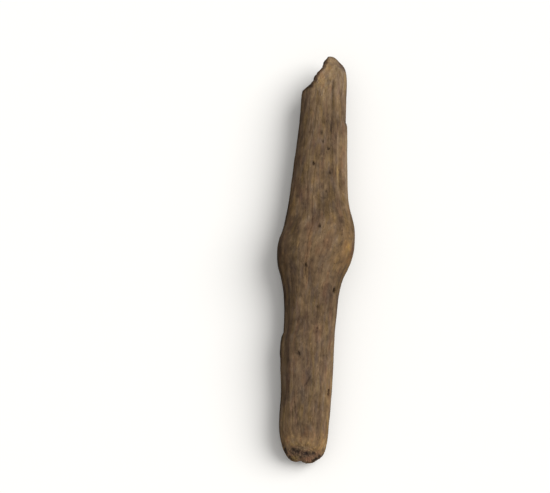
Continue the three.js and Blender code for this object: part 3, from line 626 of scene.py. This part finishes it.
    # Painted shade: a dark line along the left edge, where the flank turns away from the light.
    painted_left_edge_shade = smooth(-0.88, -0.97, nx) * smooth(-0.30, -0.05, nz) * smooth(0.45, 0.22, nz) * body
    painted_left_edge_shade = painted_left_edge_shade * (0.68 + 0.9 * layers(gx / 4, gz / 4, gy / 16, 2, seed=22.0)) * (1 - 0.5 * smooth(20, 60, Yp)) * (1 - 0.7 * bump(Yp, -80, 9))
    painted_crevice_and_edge_shade = np.maximum(painted_crevice_and_edge_shade, 0.74 * np.clip(painted_left_edge_shade, 0, 1) * (1 - torn))
    # Painted shade: a darker strip along the right edge of the outline, low on the right flank.
    painted_edge_and_flank_shade = np.maximum(painted_edge_and_flank_shade, 0.55 * smooth(0.84, 0.94, nx) * smooth(-0.2, 0.05, nz) * bump(Yp, -37, 13))
    tint = blunt * (1.0 * spot(-5.2, -131.2, 3.0, 1.8) - 0.9 * spot(4.3, -130.4, 3.2, 2.4) - 0.5 * spot(-1.5, -131.2, 1.6, 1.2))
    knot = np.exp(-((far * 1.6) ** 2))
    greyer = 0.85 * spot(11.7, 124.0, 2.6, 4.5) + 0.50 * spot(-6.6, -62.2, 3, 5) + 0.60 * spot(14.1, 85, 1.8, 7) + 0.60 * spot(15.5, 60, 2.6, 8)
    greyer = greyer + 0.50 * spot(9.5, 115, 3.4, 9) + 0.45 * spot(-1.0, -85, 7.5, 15) + 0.35 * spot(8.0, 129.5, 2.5, 2.5)
    # Painted shade: a dark rim on the right shoulder near the broken end, where the surface turns down.
    rim = np.maximum(rim, 0.74 * smooth(0.93, 0.70, nz) * (0.85 + 0.5 * n1) * smooth(-0.5, -0.2, nz) * smooth(121.8, 125.8, Yp) * smooth(2.0, 4.0, X))
    values = {
        "painted_cavity_shade": np.clip(painted_cavity_shade, 0, 1), "painted_crevice_and_edge_shade": np.clip(painted_crevice_and_edge_shade, 0, 1), "endgrain": np.clip(blunt, 0, 1),
        "rot": np.clip(rot, 0, 1), "torn": np.clip(torn, 0, 1), "ochre": np.clip(ochre, 0, 1.2),
        "lighter_and_painted_light": lighter_and_painted_light - darker_and_painted_underside_shade, "knot": np.clip(knot, 0, 1), "flat": np.clip(flat, 0, 1),
        "rim": np.clip(rim, 0, 1), "painted_edge_and_flank_shade": np.clip(painted_edge_and_flank_shade, 0, 1), "tint": np.clip(tint, -1, 1), "greyer": np.clip(greyer, 0, 1),
    }
    grain = np.stack([gx, gz, gy], -1)
    return X, Yp, Z, grain, values


def to_mesh(name, X, Y, Z, grain, values):
    rows, n = X.shape
    shift = np.array([-0.02, -0.15, 0.0])
    body = np.stack([X, Y, Z], -1).reshape(-1, 3)
    tips = np.array([body[:n].mean(0), body[-n:].mean(0)])
    tips[0, 1], tips[1, 1] = body[:n, 1].min() - 0.02, body[-n:, 1].max() + 0.02
    co = (np.concatenate([body, tips]) + shift) * MM
    r, i = np.meshgrid(np.arange(rows - 1), np.arange(n), indexing="ij")
    a = r * n + i
    b = r * n + (i + 1) % n
    quads = np.stack([a, b, b + n, a + n], -1).reshape(-1, 4)
    k = np.arange(n)
    first, last = rows * n, rows * n + 1
    end0 = np.stack([np.full(n, first), (k + 1) % n, k], -1)
    top = (rows - 1) * n
    end1 = np.stack([np.full(n, last), top + k, top + (k + 1) % n], -1)
    mesh = bpy.data.meshes.new(name)
    loops = np.concatenate([quads.ravel(), end0.ravel(), end1.ravel()])
    starts = np.concatenate([
        np.arange(len(quads)) * 4,
        len(quads) * 4 + np.arange(2 * n) * 3,
    ])
    totals = np.concatenate([np.full(len(quads), 4), np.full(2 * n, 3)])
    mesh.vertices.add(len(co))
    mesh.vertices.foreach_set("co", co.astype(np.float32).ravel())
    mesh.loops.add(len(loops))
    mesh.loops.foreach_set("vertex_index", loops.astype(np.int32))
    mesh.polygons.add(len(starts))
    mesh.polygons.foreach_set("loop_start", starts.astype(np.int32))
    mesh.polygons.foreach_set("loop_total", totals.astype(np.int32))
    mesh.update(calc_edges=True)
    mesh.validate()

    def with_tips(v):
        flat = v.reshape(rows * n, -1)
        return np.concatenate([flat, flat[:n].mean(0)[None], flat[-n:].mean(0)[None]])

    g = mesh.attributes.new("grain", "FLOAT_VECTOR", "POINT")
    g.data.foreach_set("vector", (with_tips(grain)).astype(np.float32).ravel())
    for key, v in values.items():
        attribute = mesh.attributes.new(key, "FLOAT", "POINT")
        attribute.data.foreach_set("value", with_tips(v).astype(np.float32).ravel())
    mesh.shade_smooth()
    return mesh


MOST_TRIANGLES = 198_000


def make_stick():
    X, Y, Z, grain, values = fine_surface()
    mesh = to_mesh("driftwood_surface", X, Y, Z, grain, values)
    ob = bpy.data.objects.new("driftwood_surface", mesh)
    bpy.context.scene.collection.objects.link(ob)
    triangles = sum(len(p.vertices) - 2 for p in mesh.polygons)
    if triangles > MOST_TRIANGLES:
        thin = ob.modifiers.new("thin", "DECIMATE")
        thin.ratio = MOST_TRIANGLES / triangles
        dg = bpy.context.evaluated_depsgraph_get()
        made = bpy.data.meshes.new_from_object(ob.evaluated_get(dg), preserve_all_data_layers=True, depsgraph=dg)
        ob.modifiers.remove(thin)
        made.name = "driftwood_surface"
        ob.data = made
        bpy.data.meshes.remove(mesh)
        made.shade_smooth()
    return ob


# ---------------------------------------------------------------------- the material
class Nodes:
    """Short names for making a node tree."""

    def __init__(self, tree):
        self.tree = tree
        tree.nodes.clear()

    def new(self, kind, **settings):
        node = self.tree.nodes.new(kind)
        for key, value in settings.items():
            setattr(node, key, value)
        return node

    def link(self, source, socket):
        if isinstance(source, (int, float)):
            socket.default_value = source
        elif isinstance(source, tuple):
            socket.default_value = (*source, 1.0)[: len(socket.default_value)]
        else:
            self.tree.links.new(source, socket)

    def value(self, name):
        return self.new("ShaderNodeAttribute", attribute_name=name).outputs["Fac"]

    def vector(self, name):
        return self.new("ShaderNodeAttribute", attribute_name=name).outputs["Vector"]

    def math(self, how, a, b=0.0, c=0.0, clamp=False):
        node = self.new("ShaderNodeMath", operation=how, use_clamp=clamp)
        for source, socket in zip((a, b, c), node.inputs):
            self.link(source, socket)
        return node.outputs[0]

    def remap(self, v, a, b, c=0.0, d=1.0, soft=True):
        node = self.new("ShaderNodeMapRange", interpolation_type="SMOOTHSTEP" if soft else "LINEAR")
        for source, socket in zip((v, a, b, c, d), node.inputs):
            self.link(source, socket)
        return node.outputs[0]

    def scaled(self, v, x, y, z, move=(0.0, 0.0, 0.0)):
        node = self.new("ShaderNodeMapping", vector_type="POINT")
        self.link(v, node.inputs["Vector"])
        node.inputs["Scale"].default_value = (x, y, z)
        node.inputs["Location"].default_value = move
        return node.outputs[0]

    def noise(self, v, detail=3.0, rough=0.55, scale=1.0, warp=0.0):
        node = self.new("ShaderNodeTexNoise", noise_dimensions="3D")
        self.link(v, node.inputs["Vector"])
        node.inputs["Scale"].default_value = scale
        node.inputs["Detail"].default_value = detail
        node.inputs["Roughness"].default_value = rough
        node.inputs["Distortion"].default_value = warp
        return node.outputs["Fac"]

    def mix(self, share, a, b, blend="MIX"):
        node = self.new("ShaderNodeMix", data_type="RGBA", blend_type=blend)
        self.link(share, node.inputs[0])
        self.link(a, node.inputs[6])
        self.link(b, node.inputs[7])
        return node.outputs[2]

    def ramp(self, v, stops):
        node = self.new("ShaderNodeValToRGB")
        self.link(v, node.inputs[0])
        ramp = node.color_ramp
        while len(ramp.elements) < len(stops):
            ramp.elements.new(0.5)
        for element, (at, colour) in zip(ramp.elements, stops):
            element.position = at
            element.color = (*colour, 1.0)
        return node.outputs[0]


def wood_material():
    material = bpy.data.materials.new("weathered_wood")
    material.use_nodes = True
    n = Nodes(material.node_tree)
    grain = n.vector("grain")
    place = n.new("ShaderNodeTexCoord").outputs["Object"]

    broad = n.noise(n.scaled(grain, 1 / 6.5, 1 / 6.5, 1 / 80), 2.0, 0.5)
    streak = n.noise(n.scaled(grain, 1 / 2.0, 1 / 2.0, 1 / 27, (3, 1, 0)), 3.0, 0.55, warp=0.2)
    mottle = n.noise(n.scaled(grain, 1 / 3.0, 1 / 3.0, 1 / 4.3, (4, 4, 4)), 3.0, 0.6, warp=0.3)
    fine = n.noise(n.scaled(grain, 1 / 0.9, 1 / 0.9, 1 / 5.2, (7, 2, 0)), 3.0, 0.6)
    fibre = n.noise(n.scaled(grain, 1 / 0.27, 1 / 0.27, 1 / 3.2, (1, 9, 0)), 2.0, 0.6)
    hue = n.noise(n.scaled(grain, 1 / 3.0, 1 / 3.0, 1 / 11, (11, 5, 3)), 2.0, 0.5)
    hue2 = n.noise(n.scaled(grain, 1 / 3.4, 1 / 3.4, 1 / 16, (17, 15, 6)), 2.0, 0.5)

    # Lightness of the bare wood.
    cloud = n.noise(n.scaled(grain, 1 / 6.0, 1 / 6.0, 1 / 7.5, (9, 7, 1)), 2.0, 0.5)
    tone = n.math("MULTIPLY_ADD", broad, 0.22, 0.460 - 0.11)
    for source, amount in ((streak, 0.30), (mottle, 0.72), (cloud, 0.30), (fine, 0.39), (fibre, 0.12)):
        tone = n.math("ADD", tone, n.math("MULTIPLY_ADD", source, amount, -amount / 2))
    # Lighter and darker patches, with painted light on the right flank and painted shade underneath.
    tone = n.math("ADD", tone, n.math("MULTIPLY", n.value("lighter_and_painted_light"), 0.26))
    # Painted shade in the hollows darkens the tone.
    tone = n.math("SUBTRACT", tone, n.math("MULTIPLY", n.value("painted_cavity_shade"), 0.17))
    colour = n.ramp(tone, [
        (0.0, (0.044, 0.026, 0.0138)), (0.28, (0.095, 0.060, 0.0325)), (0.5, (0.158, 0.102, 0.0555)),
        (0.72, (0.225, 0.152, 0.083)), (1.0, (0.330, 0.235, 0.136)),
    ])
    # Weathered grey, a little red brown, and warm ochre, in patches along the fibres.
    grey = n.remap(hue, 0.48, 0.66)
    colour = n.mix(n.math("MULTIPLY", grey, 0.55), colour, n.mix(1.0, colour, (0.94, 1.03, 1.30), "MULTIPLY"))
    red = n.remap(hue2, 0.53, 0.70)
    colour = n.mix(n.math("MULTIPLY", red, 0.50), colour, n.mix(1.0, colour, (1.06, 0.86, 0.84), "MULTIPLY"))
    warm = n.remap(hue2, 0.48, 0.32)
    colour = n.mix(n.math("MULTIPLY", warm, 0.60), colour, n.mix(1.0, colour, (1.05, 1.02, 0.72), "MULTIPLY"))
    ochre = n.math("MULTIPLY", n.value("ochre"), n.remap(mottle, 0.30, 0.60, 0.35, 1.0), clamp=True)
    colour = n.mix(ochre, colour, n.mix(1.0, colour, (1.30, 1.12, 0.72), "MULTIPLY"))
    colour = n.mix(n.value("greyer"), colour, n.mix(1.0, colour, (0.95, 1.0, 1.20), "MULTIPLY"))
    # A dark weathered film, worn off in ragged patches along the fibres.
    cover = n.noise(n.scaled(grain, 1 / 3.6, 1 / 3.6, 1 / 13, (27, 8, 2)), 2.0, 0.5, warp=0.4)
    cover = n.math("ADD", cover, n.math("MULTIPLY_ADD", fine, 0.34, -0.17))
    cover = n.math("ADD", cover, n.math("MULTIPLY_ADD", mottle, 0.22, -0.11))
    film = n.remap(cover, 0.50, 0.60)
    colour = n.mix(n.math("MULTIPLY", film, 0.72), colour, n.mix(1.0, colour, (0.66, 0.62, 0.66), "MULTIPLY"))
    bare = n.remap(cover, 0.45, 0.34)
    colour = n.mix(n.math("MULTIPLY", bare, 0.55), colour, n.mix(1.0, colour, (1.26, 1.24, 1.12), "MULTIPLY"))
    # Thin dark fibres and specks.
    lines = n.remap(n.noise(n.scaled(grain, 1 / 0.70, 1 / 0.70, 1 / 12, (21, 3, 8)), 2.0, 0.6), 0.58, 0.72)
    colour = n.mix(n.math("MULTIPLY", lines, 0.25), colour, n.mix(1.0, colour, (0.50, 0.45, 0.42), "MULTIPLY"))
    specks = n.remap(n.noise(n.scaled(grain, 1 / 0.76, 1 / 0.76, 1 / 1.6, (31, 3, 8)), 1.0, 0.5), 0.62, 0.74)
    colour = n.mix(n.math("MULTIPLY", specks, 0.55), colour, n.mix(1.0, colour, (0.42, 0.38, 0.36), "MULTIPLY"))
    flecks = n.remap(n.noise(n.scaled(grain, 1 / 1.05, 1 / 1.05, 1 / 3.0, (41, 13, 8)), 1.0, 0.5), 0.62, 0.74)
    colour = n.mix(n.math("MULTIPLY", flecks, 0.60), colour, n.mix(1.0, colour, (1.56, 1.52, 1.46), "MULTIPLY"))
    # Painted shade on the left flank and the edges darkens the colour, in streaks.
    painted_edge_and_flank_shade = n.math("MULTIPLY", n.value("painted_edge_and_flank_shade"), n.remap(streak, 0.28, 0.62, 1.0, 0.55), clamp=True)
    colour = n.mix(painted_edge_and_flank_shade, colour, n.mix(1.0, colour, (0.37, 0.30, 0.25), "MULTIPLY"))

    # The torn face: darker, red brown, all fibres, with painted shade as a dark edge above it.
    colour = n.mix(n.math("MULTIPLY", n.value("rim"), 0.85), colour, n.mix(1.0, colour, (0.22, 0.17, 0.15), "MULTIPLY"))
    torn_streak = n.noise(n.scaled(place, 900, 90, 900), 3.0, 0.6)
    torn = n.ramp(torn_streak, [(0.25, (0.022, 0.013, 0.008)), (0.55, (0.060, 0.036, 0.021)), (0.8, (0.13, 0.082, 0.046))])
    colour = n.mix(n.value("torn"), colour, torn)

    # End grain: rings round the heart, tan to red brown, dark rot in the pits.
    heart = n.new("ShaderNodeVectorMath", operation="SUBTRACT")
    n.link(place, heart.inputs[0])
    heart.inputs[1].default_value = (-0.0012, 0.0, 0.012)
    flat = n.new("ShaderNodeVectorMath", operation="MULTIPLY")
    n.link(heart.outputs[0], flat.inputs[0])
    flat.inputs[1].default_value = (1000.0, 0.0, 1050.0)
    distance = n.new("ShaderNodeVectorMath", operation="LENGTH")
    n.link(flat.outputs[0], distance.inputs[0])
    wobble = n.noise(n.scaled(place, 330, 330, 330), 2.0, 0.5)
    ring = n.math("SINE", n.math("MULTIPLY_ADD", distance.outputs["Value"], 4.65, n.math("MULTIPLY", wobble, 6.0)))
    speck = n.noise(n.scaled(place, 1150, 1150, 1150), 3.0, 0.65)
    blotch = n.noise(n.scaled(place, 260, 300, 300, (5, 1, 2)), 2.0, 0.5)
    end_tone = n.math("MULTIPLY_ADD", ring, 0.07, 0.46)
    for source, amount in ((speck, 0.50), (blotch, 0.50), (wobble, 0.18)):
        end_tone = n.math("ADD", end_tone, n.math("MULTIPLY_ADD", source, amount, -amount / 2))
    end_tone = n.math("ADD", end_tone, n.math("MULTIPLY", n.value("lighter_and_painted_light"), 0.20))
    end = n.ramp(end_tone, [(0.1, (0.070, 0.043, 0.025)), (0.42, (0.170, 0.110, 0.062)), (0.8, (0.30, 0.210, 0.118))])
    rosy = n.remap(blotch, 0.46, 0.60)
    end = n.mix(n.math("MULTIPLY", rosy, 0.6), end, n.mix(1.0, end, (1.08, 0.84, 0.86), "MULTIPLY"))
    rot = n.ramp(speck, [(0.3, (0.018, 0.011, 0.009)), (0.6, (0.045, 0.029, 0.024)), (0.8, (0.10, 0.072, 0.060))])
    end = n.mix(ochre, end, n.mix(1.0, end, (1.25, 1.08, 0.74), "MULTIPLY"))
    tint = n.value("tint")
    end = n.mix(n.remap(tint, 0.0, 1.0), end, n.mix(1.0, end, (1.12, 1.11, 0.78), "MULTIPLY"))
    end = n.mix(n.remap(tint, 0.0, -1.0), end, n.mix(1.0, end, (1.09, 0.96, 0.99), "MULTIPLY"))
    end = n.mix(n.value("rot"), end, rot)
    # The same painted shade on the lower edges of the end grain.
    end = n.mix(painted_edge_and_flank_shade, end, n.mix(1.0, end, (0.30, 0.26, 0.23), "MULTIPLY"))
    colour = n.mix(n.value("endgrain"), colour, end)

    # Painted shade in the splits, cracks and worm holes, and along the shaded edges.
    colour = n.mix(n.value("painted_crevice_and_edge_shade"), colour, (0.019, 0.0108, 0.0060))

    shader = n.new("ShaderNodeBsdfPrincipled")
    n.link(colour, shader.inputs["Base Color"])
    n.link(n.remap(tone, 0.2, 0.8, 0.92, 0.80), shader.inputs["Roughness"])
    shader.inputs["Specular IOR Level"].default_value = 0.25
    height = n.math("ADD", n.math("MULTIPLY", fine, 0.6), n.math("MULTIPLY", fibre, 0.4))
    height = n.math("ADD", height, n.math("MULTIPLY", speck, n.math("MULTIPLY", n.value("endgrain"), 1.5)))
    relief_node = n.new("ShaderNodeBump")
    relief_node.inputs["Strength"].default_value = 0.5
    relief_node.inputs["Distance"].default_value = 0.0002
    n.link(height, relief_node.inputs["Height"])
    n.link(relief_node.outputs[0], shader.inputs["Normal"])
    out = n.new("ShaderNodeOutputMaterial")
    n.link(shader.outputs[0], out.inputs["Surface"])
    return material


# ------------------------------------------------------------------------- the studio
BACK = 0.94  # how light the backdrop is, all round


def make_studio():
    world = bpy.data.worlds.new("studio")
    bpy.context.scene.world = world
    world.use_nodes = True
    n = Nodes(world.node_tree)
    seen = n.new("ShaderNodeBackground")
    seen.inputs["Color"].default_value = (BACK, BACK, BACK, 1)
    # A soft light from overhead, weaker towards the horizon.
    axes = n.new("ShaderNodeSeparateXYZ")
    n.link(n.new("ShaderNodeTexCoord").outputs["Generated"], axes.inputs[0])
    lit = n.new("ShaderNodeBackground")
    lit.inputs["Color"].default_value = (1.0, 0.985, 0.96, 1)
    n.link(n.remap(axes.outputs["Z"], 0.0, 1.0, 0.12, 0.76, soft=False), lit.inputs["Strength"])
    mix = n.new("ShaderNodeMixShader")
    n.link(n.new("ShaderNodeLightPath").outputs["Is Camera Ray"], mix.inputs[0])
    n.link(lit.outputs[0], mix.inputs[1])
    n.link(seen.outputs[0], mix.inputs[2])
    out = n.new("ShaderNodeOutputWorld")
    n.link(mix.outputs[0], out.inputs["Surface"])

    mesh = bpy.data.meshes.new("floor")
    ring, count = [0.0, 0.3, 0.6, 1.0, 2.0, 5.0, 12.0], 64
    co, faces = [(0.0, 0.0, 0.0)], []
    for r in ring[1:]:
        co += [(r * math.cos(2 * math.pi * i / count), r * math.sin(2 * math.pi * i / count), 0.0) for i in range(count)]
    for i in range(count):
        faces.append((0, 1 + i, 1 + (i + 1) % count))
        for k in range(len(ring) - 2):
            a, b = 1 + k * count + i, 1 + k * count + (i + 1) % count
            faces.append((a, a + count, b + count, b))
    mesh.from_pydata([(x, y, z - 0.00005) for x, y, z in co], [], faces)
    floor = bpy.data.objects.new("floor", mesh)
    bpy.context.scene.collection.objects.link(floor)
    material = bpy.data.materials.new("floor")
    material.use_nodes = True
    n = Nodes(material.node_tree)
    far = n.new("ShaderNodeVectorMath", operation="LENGTH")
    n.link(n.new("ShaderNodeTexCoord").outputs["Object"], far.inputs[0])
    matt = n.new("ShaderNodeBsdfDiffuse")
    matt.inputs["Color"].default_value = (0.90, 0.90, 0.895, 1)
    # The floor throws less light back at the stick than it shows.
    dim = n.new("ShaderNodeBsdfDiffuse")
    dim.inputs["Color"].default_value = (0.34, 0.33, 0.32, 1)
    seen = n.new("ShaderNodeMixShader")
    n.link(n.new("ShaderNodeLightPath").outputs["Is Camera Ray"], seen.inputs[0])
    n.link(dim.outputs[0], seen.inputs[1])
    n.link(matt.outputs[0], seen.inputs[2])
    glow = n.new("ShaderNodeEmission")
    glow.inputs["Color"].default_value = (BACK, BACK, BACK, 1)
    mix = n.new("ShaderNodeMixShader")
    n.link(n.remap(far.outputs["Value"], 0.28, 1.1), mix.inputs[0])
    n.link(seen.outputs[0], mix.inputs[1])
    n.link(glow.outputs[0], mix.inputs[2])
    out = n.new("ShaderNodeOutputMaterial")
    n.link(mix.outputs[0], out.inputs["Surface"])
    mesh.materials.append(material)

    light = bpy.data.lights.new("key", "SUN")
    light.energy = 2.55
    light.angle = math.radians(50)
    light.color = (1.0, 0.985, 0.955)
    ob = bpy.data.objects.new("key", light)
    bpy.context.scene.collection.objects.link(ob)
    direction = Vector((0.60, 0.22, 0.72)).normalized()
    ob.location = direction * 1.5
    ob.rotation_mode = "QUATERNION"
    ob.rotation_quaternion = direction.to_track_quat("Z", "Y")


def make_camera():
    """Looks down on the stick at 75 degrees, rolled so that the stick leans as it does in
    the photograph, and placed so that it lies at the same spot of the 550 by 493 frame."""
    width, height, scale = 550, 493, 0.64 * MM  # metres a pixel at the stick
    lens, sensor = 100.0, 36.0
    tilt, roll = math.radians(75.0), math.radians(3.756)
    at = Vector((-0.45, -4.5, 15.0)) * MM
    pixel = (313.72, 260.3)
    side, up = Vector((1, 0, 0)), Vector((0, math.sin(tilt), math.cos(tilt)))
    back = Vector((0, -math.cos(tilt), math.sin(tilt)))
    side, up = side * math.cos(roll) + up * math.sin(roll), up * math.cos(roll) - side * math.sin(roll)
    look = at - (pixel[0] - width / 2) * scale * side + (pixel[1] - height / 2) * scale * up
    data = bpy.data.cameras.new("camera")
    data.lens, data.sensor_width, data.sensor_fit = lens, sensor, "HORIZONTAL"
    data.clip_start, data.clip_end = 0.05, 60.0
    camera = bpy.data.objects.new("camera", data)
    bpy.context.scene.collection.objects.link(camera)
    place = look + back * (scale * width * lens / sensor)
    camera.matrix_world = Matrix((
        (side.x, up.x, back.x, place.x), (side.y, up.y, back.y, place.y),
        (side.z, up.z, back.z, place.z), (0, 0, 0, 1),
    ))
    bpy.context.scene.camera = camera


make_camera()
make_studio()
stick = make_stick()
stick.data.materials.clear()
stick.data.materials.append(wood_material())
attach(stick, "root")
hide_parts("driftwood")

view_settings = bpy.context.scene.view_settings
view_settings.view_transform = "Standard"
view_settings.look = "None"
view_settings.exposure = 0.0
view_settings.gamma = 1.0
